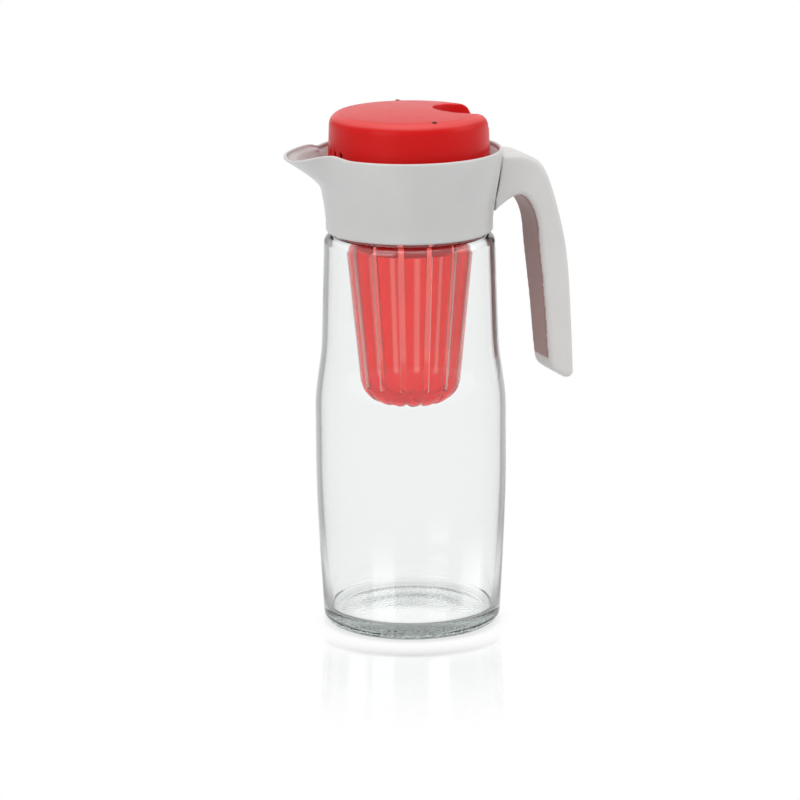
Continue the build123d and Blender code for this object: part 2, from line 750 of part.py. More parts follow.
# Infuser basket: tapered cup with upright slots, a band in the neck and a tube with bayonet lugs
with BuildPart() as basket:
    with BuildSketch(Plane.XZ):
        with BuildLine():
            Polyline(
                (TUBE_BORE, BAND_TOP + UPSTAND),
                (TUBE_R, BAND_TOP + UPSTAND),
                (TUBE_R, BAND_TOP),
                (BAND_R, BAND_TOP),
                (BAND_R, BAND_LOW),
                (CUP_R, BAND_LOW - BAND_EASE),
                (CUP_LOW_R, CUP_LOW + CUP_ROUND),
            )
            TangentArc(
                (CUP_LOW_R, CUP_LOW + CUP_ROUND),
                (CUP_LOW_R - CUP_ROUND, CUP_LOW),
                tangent=(0, -1),
            )
            Polyline(
                (CUP_LOW_R - CUP_ROUND, CUP_LOW),
                (0, CUP_LOW),
                (0, CUP_LOW + BASKET_WALL),
                (CUP_LOW_R - CUP_ROUND, CUP_LOW + BASKET_WALL),
            )
            TangentArc(
                (CUP_LOW_R - CUP_ROUND, CUP_LOW + BASKET_WALL),
                (CUP_LOW_R - BASKET_WALL, CUP_LOW + CUP_ROUND),
                tangent=(1, 0),
            )
            Polyline(
                (CUP_LOW_R - BASKET_WALL, CUP_LOW + CUP_ROUND),
                (CUP_R - BASKET_WALL, BAND_LOW),
                (TUBE_BORE, BAND_LOW + BAND_EASE),
                (TUBE_BORE, BAND_TOP + UPSTAND),
            )
        make_face()
    revolve(axis=Axis.Z)
    slot_top = BAND_LOW + SLOT_HIGH
    slot_base = CUP_LOW + SLOT_LOW
    for k in range(SLOT_COUNT):
        turn = SLOT_PHASE + k * 360 / SLOT_COUNT
        with BuildSketch(radial_plane(turn, CUP_LOW_R - CUP_ROUND, (slot_top + slot_base) / 2)):
            SlotOverall(slot_top - slot_base, SLOT_W, rotation=90)
        extrude(amount=BAND_R, mode=Mode.SUBTRACT)
    for k in range(LUG_COUNT):
        middle = LUG_PHASE + k * 360 / LUG_COUNT
        with BuildSketch(Plane.XY.offset(LUG_Z)):
            with BuildLine():
                sector(
                    TUBE_R - BASKET_WALL / 2,
                    TUBE_R + LUG_OUT,
                    middle - LUG_ARC / 2,
                    middle + LUG_ARC / 2,
                )
            make_face()
        extrude(amount=LUG_H)
basket.part.label = "infuser_basket"
export_step(basket.part, "parts/infuser_basket.step")
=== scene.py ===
import math

import bmesh
import bpy
from mathutils import Matrix, Vector


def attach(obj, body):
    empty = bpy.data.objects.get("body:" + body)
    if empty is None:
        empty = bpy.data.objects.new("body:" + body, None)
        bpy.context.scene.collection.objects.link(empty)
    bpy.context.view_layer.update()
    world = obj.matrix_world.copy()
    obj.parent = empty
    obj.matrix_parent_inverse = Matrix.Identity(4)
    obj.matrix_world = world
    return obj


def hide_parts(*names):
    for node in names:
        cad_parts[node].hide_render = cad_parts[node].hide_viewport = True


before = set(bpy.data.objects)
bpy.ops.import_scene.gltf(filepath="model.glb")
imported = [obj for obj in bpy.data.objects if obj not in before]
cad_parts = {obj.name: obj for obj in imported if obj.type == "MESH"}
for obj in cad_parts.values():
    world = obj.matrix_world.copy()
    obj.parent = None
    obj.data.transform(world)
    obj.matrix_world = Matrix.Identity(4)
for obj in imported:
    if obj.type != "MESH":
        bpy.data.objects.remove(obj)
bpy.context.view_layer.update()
MM = 0.001

# Heights, radii and walls in millimetres
JAR_WALL = 2.8
NECK_R = 40.0
NECK_BORE = 37.4
NECK_TOP = 229.0
THREAD_LEAD = 5.0
THREAD_HALF = 1.1
THREAD_FLANK = 0.5
COLLAR_LOW = 210.0
COLLAR_R = 43.5
COLLAR_BORE = 43.0
LIP_Z = 253.0
RIM_ROUND = 1.0
FLANGE_LOW = 231.0
FLANGE_TOP = 233.5
CUP_FLOOR = 118.7
CUP_WALL = 1.6
CUP_ROUND = 14.0
CUP_CENTRE = (12.3, 132.7)
CUP_TOP = 204.4
SLOT_LOW = 127.7
SLOT_TOP = 212.2
BAND_R = 36.3
TUBE_R = 34.35
TUBE_BORE = 32.75
LUG_R = 34.75
LUG_DEPTH = 2.6
LUG_Z = 226.6
LUG_HEIGHT = 2.8

# Threads: height of the start in millimetres, turns, and how far the thread stands out
NECK_THREAD = (216.0, 0.8, 1.4)
COLLAR_THREAD = (214.0, 0.7, 1.3)

# Counts and angles
LUGS = 3
LUG_FIRST = math.radians(30)
LUG_ANGLE = math.radians(12.0)
SLOT_FIRST = math.radians(10.8)
LID_TURN = math.radians(-5.0)

# Places, ranges and grid sizes in metres
MOULDING_GRID = 0.0006
COVER_GRID = 0.0005
FLOOR_R = 6.0
LAMP_AIM = (0, 0, 0.15)
# Place and reach of the painted shade on the lid's two raised pips
PIP_AT = (0.0037, 0.0363, 0.2718)
PIP_FADE = (0.0012, 0.0019)
HEEL_FADE = (0.003, 0.005)
# Height above which the basket takes painted shade under the collar
BAND_SHADE_FADE = (0.2018, 0.2011)
FOOT_FADE = (0.127, 0.139)
MIRROR_FADE = (0.06, 0.21)
MIRROR_START = (0.1, 0.05)
CONTACT_FADE = (0.044, 0.056)
# Ring of painted shade under the foot, and the disc of painted light under the middle of the base
RING_OUTER = (0.043, 0.049)
RING_INNER = (0.04, 0.033)
UNDER_FADE = (0.028, 0.036)

# Ranges of how far a face points up, or to the side; the first two place the lid's painted sheen, the third
# the painted highlight on the basket's slot faces
SHEEN_FADE = (0.72, 0.42)
CROWN_FADE = (0.9, 0.998)
CUT_FADE = (0.9, 0.6)

# Finishes and colours
LID_SHINE = 0.16
# Painted light: how much brighter the floor shows under the middle of the base
PAINTED_UNDER_LIGHT = 1.2
WHITE = (1.0, 1.0, 1.0, 1.0)
# Grey of the floor's painted shade in a ring under the foot
FOOT_RING_SHADE = (0.8, 0.815, 0.805, 1.0)
# Pale pink painted highlight on the cut faces of the basket's slots
SLOT_HIGHLIGHT = (1.0, 0.74, 0.72, 1.0)
# Dark red of the painted shade on the basket's top band under the collar
BAND_SHADE = (0.55, 0.006, 0.006, 1.0)
DEEP_FOOT = (0.92, 0.03, 0.025, 1.0)
GLASS_BODY = (0.30, 0.40, 0.36, 1.0)
GLASS_DENSITY = 11.0

# Room: way the photograph looks, seen from above, and dark strips round it
VIEW_AHEAD = (0.342, 0.94)
STRIPS = 4.0

bl_info = {
    "name": "Fruit infuser pitcher",
    "version": (1, 0, 0),
    "blender": (4, 5, 0),
    "location": "View3D > Sidebar > Pitcher",
    "description": "Builds the looks of a glass jug with a pouring collar, turning lid and fruit basket",
    "category": "Object",
}


class GlassSettings(bpy.types.PropertyGroup):
    """Steps, colour and waves of the pressed glass jar."""

    tint: bpy.props.FloatVectorProperty(
        name="Tint", description="Colour of the clear glass", subtype="COLOR",
        size=4, min=0, max=1, default=(0.965, 0.972, 0.972, 1.0),
    )
    segments: bpy.props.IntProperty(
        name="Segments", description="Steps round the jar", default=192, min=48, max=256,
    )
    ripple: bpy.props.FloatProperty(
        name="Ripple", description="Strength of the mould's faint waves", default=0.12, min=0, max=1,
    )


class CollarSettings(bpy.types.PropertyGroup):
    """Finish and spout of the pouring collar."""

    colour: bpy.props.FloatVectorProperty(
        name="Colour", description="Off-white of the moulding", subtype="COLOR",
        size=4, min=0, max=1, default=(0.58, 0.575, 0.565, 1.0),
    )
    reach: bpy.props.FloatProperty(
        name="Spout reach", description="How far the spout stands out past the rim, in millimetres",
        default=19.2, min=5, max=30,
    )
    spread: bpy.props.FloatProperty(
        name="Spout spread", description="Half angle of the spout seen from above", subtype="ANGLE",
        unit="ROTATION", default=math.radians(16.8), min=0.1, max=0.6,
    )


class HandleSettings(bpy.types.PropertyGroup):
    """Finish of the handle, and of the cover on its inner side, whose dark warm grey is painted shade with a
    painted red reflection.
    """

    colour: bpy.props.FloatVectorProperty(
        name="Shell colour", description="Off-white of the shell", subtype="COLOR",
        size=4, min=0, max=1, default=(0.66, 0.65, 0.63, 1.0),
    )
    # The cover colour is painted shade with a painted red reflection on the handle's inner side
    cover: bpy.props.FloatVectorProperty(
        name="Cover colour", description="Warm grey of the inner cover", subtype="COLOR",
        size=4, min=0, max=1, default=(0.37, 0.235, 0.22, 1.0),
    )


class LidSettings(bpy.types.PropertyGroup):
    """Finish of the lid cap and its plug."""

    colour: bpy.props.FloatVectorProperty(
        name="Colour", description="Red of the lid", subtype="COLOR",
        size=4, min=0, max=1, default=(0.60, 0.008, 0.008, 1.0),
    )
    roughness: bpy.props.FloatProperty(
        name="Roughness", description="Satin of the moulded red", default=0.34, min=0, max=1,
    )
    # The edge colour is painted sheen: a lighter red laid on the lid's upward-facing faces where the overhead
    # light falls
    edge: bpy.props.FloatVectorProperty(
        name="Edge colour", description="Lighter red of the rounded edge", subtype="COLOR",
        size=4, min=0, max=1, default=(0.70, 0.078, 0.075, 1.0),
    )
    # The pip colour is painted shade: a darker red on the two small raised pips where shade falls on them
    pip_shade: bpy.props.FloatVectorProperty(
        name="Pip colour", description="Dark red of the two raised pips", subtype="COLOR",
        size=4, min=0, max=1, default=(0.10, 0.012, 0.010, 1.0),
    )


class BasketSettings(bpy.types.PropertyGroup):
    """Finish of the infuser basket."""

    colour: bpy.props.FloatVectorProperty(
        name="Colour", description="Red of the see-through plastic", subtype="COLOR",
        size=4, min=0, max=1, default=(1.0, 0.16, 0.14, 1.0),
    )
    slots: bpy.props.IntProperty(
        name="Slots", description="Slots round the basket", default=14, min=6, max=24,
    )
    slot_width: bpy.props.FloatProperty(
        name="Slot width", description="Width of a slot in millimetres", default=3.1, min=1, max=5,
    )
    clear: bpy.props.FloatProperty(
        name="Clearness", description="Share of light that goes through the plastic",
        default=0.97, min=0, max=1,
    )


class SealSettings(bpy.types.PropertyGroup):
    """Finish of the two silicone rings."""

    colour: bpy.props.FloatVectorProperty(
        name="Colour", description="Milky silicone", subtype="COLOR",
        size=4, min=0, max=1, default=(0.72, 0.72, 0.70, 1.0),
    )


class StageSettings(bpy.types.PropertyGroup):
    """Floor, lamps and camera."""

    floor: bpy.props.FloatVectorProperty(
        name="Floor", description="Pale floor", subtype="COLOR",
        size=4, min=0, max=1, default=(0.86, 0.865, 0.885, 1.0),
    )
    mirror: bpy.props.FloatProperty(
        name="Mirror", description="Share of the floor that mirrors the jar's foot",
        default=0.85, min=0, max=1,
    )
    contact: bpy.props.FloatProperty(
        name="Contact shade", description="Share of the floor that takes shade at the foot",
        default=0.15, min=0, max=1,
    )
    ambient: bpy.props.FloatProperty(
        name="Ambient", description="Strength of the even light", default=0.55, min=0, max=2,
    )
    strip_angle: bpy.props.FloatProperty(
        name="Strip angle", description="Turn of the four dark strips round the object", subtype="ANGLE",
        unit="ROTATION", default=math.radians(25), min=0, max=6.3,
    )
    strip_depth: bpy.props.FloatProperty(
        name="Strip depth", description="How dark the strips are", default=0.4, min=0, max=1,
    )
    edge_depth: bpy.props.FloatProperty(
        name="Edge depth", description="How dark the glass is where it turns light back inside its wall",
        default=0.66, min=0, max=1,
    )
    front_level: bpy.props.FloatProperty(
        name="Front level", description="Brightness of the room behind the camera", default=0.3, min=0, max=1,
    )
    power: bpy.props.FloatProperty(
        name="Lamp power", description="Power of the overhead softbox", subtype="POWER",
        unit="POWER", default=11.0, min=0, max=200,
    )
    lens: bpy.props.FloatProperty(
        name="Lens", description="Focal length", subtype="DISTANCE_CAMERA",
        unit="CAMERA", default=193.5, min=20, max=400,
    )


def settings(name):
    return getattr(bpy.context.scene, "pitcher_" + name)


def hermite(p, q, lean_p, lean_q, steps):
    """Points of a cubic between two profile points, the first left out."""
    run = math.dist(p, q)
    points = []
    for k in range(1, steps + 1):
        t = k / steps
        a = (2 * t - 3) * t * t + 1
        b = (3 - 2 * t) * t * t
        c = ((t - 2) * t + 1) * t * run
        d = (t - 1) * t * t * run
        points.append(tuple(
            a * p[i] + b * q[i] + c * lean_p[i] + d * lean_q[i] for i in (0, 1)
        ))
    return points


def straight(p, q, steps):
    return [
        (p[0] + (q[0] - p[0]) * k / steps, p[1] + (q[1] - p[1]) * k / steps)
        for k in range(1, steps + 1)
    ]


def corner(p, q, bulge, steps):
    """Quarter round from p to q; bulge is its outer corner."""
    centre = (p[0] + q[0] - bulge[0], p[1] + q[1] - bulge[1])
    points = []
    for k in range(1, steps + 1):
        a = math.pi / 2 * k / steps
        points.append(tuple(
            centre[i] + (p[i] - centre[i]) * math.cos(a) + (q[i] - centre[i]) * math.sin(a)
            for i in (0, 1)
        ))
    return points


def new_object(name, mesh):
    obj = bpy.data.objects.new(name, mesh)
    bpy.context.scene.collection.objects.link(obj)
    return obj


def smooth(obj, angle=None):
    for face in obj.data.polygons:
        face.use_smooth = True
    if angle is not None:
        obj.data.set_sharp_from_angle(angle=math.radians(angle))


def plain_mesh(obj):
    """Turns an object's modifiers into its own mesh."""
    graph = bpy.context.evaluated_depsgraph_get()
    mesh = bpy.data.meshes.new_from_object(obj.evaluated_get(graph))
    old = obj.data
    obj.modifiers.clear()
    obj.data = mesh
    bpy.data.meshes.remove(old)
    return obj


def lathe(name, profile, segments, reach=None):
    """Closed body turned about Z; reach may move a point out by its angle, radius and height."""
    shape = bmesh.new()
    rings = []
    for r, z in profile:
        if r < 1e-6:
            rings.append([shape.verts.new((0, 0, z * MM))])
            continue
        ring = []
        for k in range(segments):
            a = 2 * math.pi * k / segments
            radius = r + (reach(a, r, z) if reach else 0)
            ring.append(shape.verts.new((radius * MM * math.cos(a), radius * MM * math.sin(a), z * MM)))
        rings.append(ring)
    for low, high in zip(rings, rings[1:]):
        for k in range(segments):
            n = (k + 1) % segments
            if len(low) == 1 and len(high) > 1:
                shape.faces.new((low[0], high[n], high[k]))
            elif len(high) == 1 and len(low) > 1:
                shape.faces.new((low[k], low[n], high[0]))
            elif len(low) > 1:
                shape.faces.new((low[k], low[n], high[n], high[k]))
    bmesh.ops.recalc_face_normals(shape, faces=shape.faces)
    mesh = bpy.data.meshes.new(name)
    shape.to_mesh(mesh)
    shape.free()
    return new_object(name, mesh)


def cad_copy(node, name):
    """Merged copy of a CAD node's mesh."""
    shape = bmesh.new()
    shape.from_mesh(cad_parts[node].data)
    bmesh.ops.remove_doubles(shape, verts=shape.verts, dist=1e-6)
    mesh = bpy.data.meshes.new(name)
    shape.to_mesh(mesh)
    shape.free()
    mesh.materials.clear()
    return new_object(name, mesh)


def soften(obj, voxel, passes):
    """Rounds the edges of a moulded piece."""
    grid = obj.modifiers.new("Grid", "REMESH")
    grid.mode = "VOXEL"
    grid.voxel_size = voxel
    relax = obj.modifiers.new("Relax", "SMOOTH")
    relax.factor = 0.5
    relax.iterations = passes
    plain_mesh(obj)
    smooth(obj)
    return obj


def place(obj, body, slot, material, *nodes):
    obj.data.materials.clear()
    obj.data.materials.append(material)
    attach(obj, body)
    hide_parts(*nodes)


def shader(name):
    """New material with its node tree, its Principled node and an Object coordinate output."""
    mat = bpy.data.materials.new(name)
    mat.use_nodes = True
    tree = mat.node_tree
    principled = tree.nodes["Principled BSDF"]
    coords = tree.nodes.new("ShaderNodeTexCoord")
    return mat, tree, principled, coords.outputs["Object"]


def noise(tree, vector, scale, detail=3.0, stretch=None):
    if stretch:
        mapping = tree.nodes.new("ShaderNodeMapping")
        mapping.inputs["Scale"].default_value = stretch
        tree.links.new(vector, mapping.inputs["Vector"])
        vector = mapping.outputs["Vector"]
    node = tree.nodes.new("ShaderNodeTexNoise")
    node.inputs["Scale"].default_value = scale
    node.inputs["Detail"].default_value = detail
    tree.links.new(vector, node.inputs["Vector"])
    return node.outputs["Fac"]


def ramp(tree, value, low, high, start=0.3, end=0.7):
    node = tree.nodes.new("ShaderNodeValToRGB")
    node.color_ramp.elements[0].position = start
    node.color_ramp.elements[0].color = low
    node.color_ramp.elements[1].position = end
    node.color_ramp.elements[1].color = high
    tree.links.new(value, node.inputs["Fac"])
    return node.outputs["Color"]


def spread(tree, value, low, high):
    node = tree.nodes.new("ShaderNodeMapRange")
    node.inputs["To Min"].default_value = low
    node.inputs["To Max"].default_value = high
    tree.links.new(value, node.inputs["Value"])
    return node.outputs["Result"]


def smooth_step(tree, value, low, high, start, end):
    node = tree.nodes.new("ShaderNodeMapRange")
    node.interpolation_type = "SMOOTHSTEP"
    limits = {"From Min": low, "From Max": high, "To Min": start, "To Max": end}
    for name, limit in limits.items():
        node.inputs[name].default_value = limit
    tree.links.new(value, node.inputs["Value"])
    return node.outputs["Result"]


def fade_out(tree, value, near, far, most=1.0):
    """A share that falls from its most at near to nothing at far."""
    return smooth_step(tree, value, near, far, most, 0.0)


def arith(tree, operation, *values):
    """Result of a Math node on sockets and numbers."""
    node = tree.nodes.new("ShaderNodeMath")
    node.operation = operation
    for k, value in enumerate(values):
        if isinstance(value, (int, float)):
            node.inputs[k].default_value = value
        else:
            tree.links.new(value, node.inputs[k])
    return node.outputs["Value"]


def vector_math(tree, operation, *values):
    """Result of a Vector Math node on sockets and fixed vectors."""
    node = tree.nodes.new("ShaderNodeVectorMath")
    node.operation = operation
    for k, value in enumerate(values):
        if isinstance(value, tuple):
            node.inputs[k].default_value = value
        else:
            tree.links.new(value, node.inputs[k])
    return node.outputs["Value" if operation in ("LENGTH", "DISTANCE") else "Vector"]


def axes(tree, vector):
    split = tree.nodes.new("ShaderNodeSeparateXYZ")
    tree.links.new(vector, split.inputs["Vector"])
    return tuple(split.outputs[name] for name in "XYZ")


def bump(tree, principled, height, strength, distance):
    node = tree.nodes.new("ShaderNodeBump")
    node.inputs["Strength"].default_value = strength
    node.inputs["Distance"].default_value = distance
    tree.links.new(height, node.inputs["Height"])
    tree.links.new(node.outputs["Normal"], principled.inputs["Normal"])


def shade(colour, share):
    return tuple(min(1, c * share) for c in colour[:3]) + (1.0,)


def blend(tree, share, first, second):
    """Colour between a socket and a set colour."""
    mix = tree.nodes.new("ShaderNodeMix")
    mix.data_type = "RGBA"
    tree.links.new(share, mix.inputs["Factor"])
    tree.links.new(first, mix.inputs["A"])
    mix.inputs["B"].default_value = tuple(second)
    return mix.outputs["Result"]


def moulded_plastic(name, colour, roughness, grain=0.05, shine=0.5):
    """Satin moulded plastic: faint tone drift, fine spark texture and uneven gloss."""
    mat, tree, principled, coords = shader(name)
    drift = noise(tree, coords, 38.0, 4.0)
    tree.links.new(
        ramp(tree, drift, shade(colour, 0.965), shade(colour, 1.03)), principled.inputs["Base Color"]
    )
    gloss = noise(tree, coords, 160.0, 2.0)
    tree.links.new(spread(tree, gloss, roughness - 0.04, roughness + 0.05), principled.inputs["Roughness"])
    spark = noise(tree, coords, 2600.0, 2.0)
    bump(tree, principled, spark, grain, 0.0002)
    principled.inputs["IOR"].default_value = 1.47
    principled.inputs["Specular IOR Level"].default_value = shine
    return mat


def lid_red_with_painted_light(lid):
    """Satin red of the lid with painted sheen, a lighter red on its upward-facing rounded shoulder and,
    weaker, on its flat crown where the overhead light falls, and painted shade on its two raised pips in a
    darker red.
    """
    mat = moulded_plastic("lid_red", lid.colour, lid.roughness, shine=LID_SHINE)
    tree = mat.node_tree
    principled = tree.nodes["Principled BSDF"]
    plain = principled.inputs["Base Color"].links[0].from_socket
    coords = tree.nodes["Texture Coordinate"].outputs
    rise = axes(tree, coords["Normal"])[2]
    # Painted sheen: faces of the lid that point up turn to the lighter edge red, the flat crown a quarter as
    # much
    off_crown = spread(tree, fade_out(tree, rise, *CROWN_FADE), 0.25, 1.0)
    edge = arith(tree, "MULTIPLY", fade_out(tree, rise, *SHEEN_FADE), off_crown)
    plain = blend(tree, edge, plain, lid.edge)
    turned = tree.nodes.new("ShaderNodeVectorRotate")
    turned.rotation_type = "Z_AXIS"
    turned.inputs["Angle"].default_value = -LID_TURN
    tree.links.new(coords["Object"], turned.inputs["Vector"])
    x, y, z = axes(tree, turned.outputs["Vector"])
    folded = tree.nodes.new("ShaderNodeCombineXYZ")
    for name, socket in (("X", x), ("Y", arith(tree, "ABSOLUTE", y)), ("Z", z)):
        tree.links.new(socket, folded.inputs[name])
    # Painted shade on the two pips: a darker red within a small distance of each pip's place
    reach = vector_math(tree, "DISTANCE", folded.outputs["Vector"], PIP_AT)
    pip_shade = fade_out(tree, reach, *PIP_FADE)
    tree.links.new(blend(tree, pip_shade, plain, lid.pip_shade), principled.inputs["Base Color"])
    return mat


def clear_glass(tint, ripple):
    """Pressed soda glass with the faint waves that its mould leaves and a stippled heel."""
    mat, tree, principled, coords = shader("clear_glass")
    principled.inputs["Base Color"].default_value = tuple(tint)
    principled.inputs["Roughness"].default_value = 0.0
    principled.inputs["IOR"].default_value = 1.51
    principled.inputs["Transmission Weight"].default_value = 1.0
    wave = noise(tree, coords, 30.0, 1.5, (1.0, 1.0, 0.35))
    heel = fade_out(tree, axes(tree, coords)[2], *HEEL_FADE, 0.5)
    dots = tree.nodes.new("ShaderNodeTexVoronoi")
    dots.inputs["Scale"].default_value = 700.0
    tree.links.new(coords, dots.inputs["Vector"])
    stipple = arith(tree, "MULTIPLY_ADD", dots.outputs["Distance"], heel, wave)
    bump(tree, principled, stipple, ripple, 0.002)
    body = tree.nodes.new("ShaderNodeVolumeAbsorption")
    body.inputs["Color"].default_value = GLASS_BODY
    body.inputs["Density"].default_value = GLASS_DENSITY
    tree.links.new(body.outputs["Volume"], tree.nodes["Material Output"].inputs["Volume"])
    return mat


def clear_red(colour, clear):
    """See-through red plastic: deeper in its foot, with painted shade as a dark, less clear top band under
    the collar and a painted highlight as pale pink on the slots' cut faces.
    """
    mat, tree, principled, coords = shader("see_through_red")
    drift = noise(tree, coords, 60.0, 2.0)
    thin = ramp(tree, drift, shade(colour, 0.95), shade(colour, 1.04))
    height = axes(tree, coords)[2]
    # Painted shade: the top band under the collar turns dark red and less clear
    collar_shade = fade_out(tree, height, *BAND_SHADE_FADE)
    outward = vector_math(tree, "NORMALIZE", vector_math(tree, "MULTIPLY", coords, (1, 1, 0)))
    normal = tree.nodes["Texture Coordinate"].outputs["Normal"]
    sideways = axes(tree, vector_math(tree, "CROSS_PRODUCT", outward, normal))[2]
    # Painted highlight: faces that point sideways round the axis, the slots' cut faces, turn pale pink and
    # less clear
    cut = fade_out(tree, arith(tree, "ABSOLUTE", sideways), *CUT_FADE)
    wall = blend(tree, fade_out(tree, height, *FOOT_FADE), thin, DEEP_FOOT)
    wall = blend(tree, cut, wall, SLOT_HIGHLIGHT)
    tree.links.new(blend(tree, collar_shade, wall, BAND_SHADE), principled.inputs["Base Color"])
    principled.inputs["Roughness"].default_value = 0.14
    principled.inputs["IOR"].default_value = 1.2
    dense = arith(tree, "MAXIMUM", collar_shade, cut)
    tree.links.new(spread(tree, dense, clear, 0.4), principled.inputs["Transmission Weight"])
    fine = noise(tree, coords, 900.0, 2.0)
    bump(tree, principled, fine, 0.06, 0.0003)
    return mat


def jar_profile():
    """Outer side from the foot's middle to the lip, then down the inside to the floor's middle."""
    hollow, foot_in, foot_out, heel = (0, 2.2), (37.6, 0.0), (40.2, 0.0), (46.7, 6.5)
    belly_low, belly_high, waist, shoulder = (50, 90), (50, 116), (46.2, 153), (44.6, 204)
    shoulder_end, floor_end, floor = (40.6, 208), (42.8, 11.4), (39.8, 8.4)
    lip = NECK_TOP - 0.8

    def inside(point):
        return point[0] - JAR_WALL, point[1]

    points = [hollow]
    points += hermite(hollow, foot_in, (1, 0), (1, -0.02), 16)
    points += straight(foot_in, foot_out, 2)
    points += corner(foot_out, heel, (heel[0], foot_out[1]), 12)
    points += hermite(heel, belly_low, (0.05, 1), (0, 1), 26)
    points += straight(belly_low, belly_high, 6)
    points += hermite(belly_high, waist, (0, 1), (-0.031, 1), 22)
    points += straight(waist, shoulder, 14)
    points += corner(shoulder, shoulder_end, (shoulder[0], shoulder_end[1]), 10)
    points += straight(shoulder_end, (NECK_R, 208.2), 1)
    points += straight((NECK_R, 208.2), (NECK_R, lip), 56)
    points += corner((NECK_R, lip), (39.2, NECK_TOP), (NECK_R, NECK_TOP), 5)
    points += straight((39.2, NECK_TOP), (38.2, NECK_TOP), 1)
    points += corner((38.2, NECK_TOP), (NECK_BORE, lip), (NECK_BORE, NECK_TOP), 5)
    points += straight((NECK_BORE, lip), (NECK_BORE, 208.4), 10)
    points += corner((NECK_BORE, 208.4), (39.0, 206.8), (NECK_BORE, 206.8), 6)
    points += corner((39.0, 206.8), inside(shoulder), (inside(shoulder)[0], 206.8), 8)
    points += straight(inside(shoulder), inside(waist), 14)
    points += hermite(inside(waist), inside(belly_high), (0.031, -1), (0, -1), 22)
    points += straight(inside(belly_high), inside(belly_low), 6)
    points += hermite(inside(belly_low), floor_end, (0, -1), (-0.09, -1), 26)
    points += corner(floor_end, floor, (floor_end[0], floor[1]), 10)
    points += straight(floor, (24, 8.2), 3)
    points += [(10, 8.0), (0, 8.0)]
    return points


def screw_thread(angle, z, start, turns, height):
    """Height of a right-hand thread at an angle and height, in millimetres."""
    share = (angle / (2 * math.pi)) % 1.0
    if share > turns:
        return 0.0
    run_out = 0.05
    fade = min(1.0, share / run_out, (turns - share) / run_out)
    off = abs(z - start - THREAD_LEAD * share)
    return fade * height * min(1.0, max(0.0, (THREAD_HALF - off) / THREAD_FLANK))


def neck_thread(angle, r, z):
    """Thread that stands out of the neck; the rest of the jar is round."""
    if abs(r - NECK_R) > 1e-6 or z < COLLAR_LOW:
        return 0.0
    return screw_thread(angle, z, *NECK_THREAD)


def collar_angles():
    """Angles round the collar, closer together at the spout, which points to -X."""
    half, fine, coarse = 34, 120, 150
    near = [math.radians(-half + 2 * half * k / fine) for k in range(fine + 1)]
    rest = [math.radians(half + (360 - 2 * half) * k / coarse) for k in range(1, coarse)]
    return [math.pi + a for a in near + rest]


def ease(value, low, high):
    t = min(1.0, max(0.0, (value - low) / (high - low)))
    return t * t * (3 - 2 * t)


def collar_wall(z):
    """Outside radius of the collar away from the spout, in millimetres."""
    t = min(1.0, max(0.0, (z - 216) / (LIP_Z - 216)))
    return COLLAR_R + 5.3 * (0.56 * t + 1.32 * t * t - 0.88 * t ** 3)


def collar_bowl(z):
    """Inside radius of the collar above its flange: bore, gutter ledge and bowl."""
    ledge_low, ledge_high = 246.7, 247.5
    if z < ledge_low:
        return COLLAR_BORE
    if z < ledge_high:
        return COLLAR_BORE + (z - ledge_low)
    return min(46.8, 43.8 + 3.0 * (z - ledge_high) / 3.5)


def collar_section(angle):
    """Closed section of the collar at an angle, as radius and height in millimetres."""
    collar = settings("collar")
    turn = abs(angle % (2 * math.pi) - math.pi)
    degrees = math.degrees(turn)
    share = 1 / (1 + (turn / collar.spread) ** 5.2)
    out = collar.reach * share
    lip = LIP_Z + 2.2 * math.exp(-((degrees - 20) / 7) ** 2)
    lip -= 2.0 * math.exp(-(degrees / 10) ** 2)
    channel = 1 - ease(degrees, 15, 25)
    rim = lip - RIM_ROUND
    corner_z = COLLAR_LOW + 1.4

    def wall(z):
        t = min(1.0, max(0.0, (z - 226) / (lip - 226)))
        return collar_wall(z) + out * (0.5 * ease(t, 0.2, 1.02) + 0.5 * t ** 3.5)

    def inner(z):
        free = collar_bowl(z)
        cut = wall(z - 0.9 * share) - 2.0 - 0.5 * share
        return free + max(0.0, cut - free) * channel * ease(z, 237.5, 243)

    section = [(42.1, COLLAR_LOW)]
    section += corner((42.1, COLLAR_LOW), (COLLAR_R, corner_z), (COLLAR_R, COLLAR_LOW), 5)
    steps = 44
    for k in range(1, steps + 1):
        z = corner_z + (rim - corner_z) * k / steps
        section.append((wall(z), z))
    edge = wall(rim)
    for k in range(1, 8):
        a = math.pi * k / 8
        section.append((edge - RIM_ROUND + RIM_ROUND * math.cos(a), rim + RIM_ROUND * math.sin(a)))
    steps, blended = 34, 4
    for k in range(steps + 1):
        z = rim - (rim - 234.0) * k / steps
        radius = inner(z)
        if k < blended:
            radius += (edge - 2 * RIM_ROUND - radius) * (1 - ease(k, 0, blended))
        section.append((radius, z))
    section += [(42.6, FLANGE_TOP), (38.1, FLANGE_TOP), (37.7, 233.1)]
    section += [(37.7, 231.4), (38.1, FLANGE_LOW), (41.5, FLANGE_LOW)]
    steps, thread_top, thread_low = 46, 230.8, 210.3
    for k in range(steps + 1):
        z = thread_top - (thread_top - thread_low) * k / steps
        section.append((41.7 - screw_thread(angle, z, *COLLAR_THREAD), z))
    section.append((41.8, COLLAR_LOW))
    return section


def ring_loft(name, angles, section_at):
    """Closed ring through sections that stand at angles round the axis."""
    shape = bmesh.new()
    columns = []
    for a in angles:
        columns.append([
            shape.verts.new((r * MM * math.cos(a), r * MM * math.sin(a), z * MM)) for r, z in section_at(a)
        ])
    for here, after in zip(columns, columns[1:] + columns[:1]):
        for k in range(len(here)):
            n = (k + 1) % len(here)
            shape.faces.new((here[k], after[k], after[n], here[n]))
    bmesh.ops.recalc_face_normals(shape, faces=shape.faces)
    mesh = bpy.data.meshes.new(name)
    shape.to_mesh(mesh)
    shape.free()
    return new_object(name, mesh)


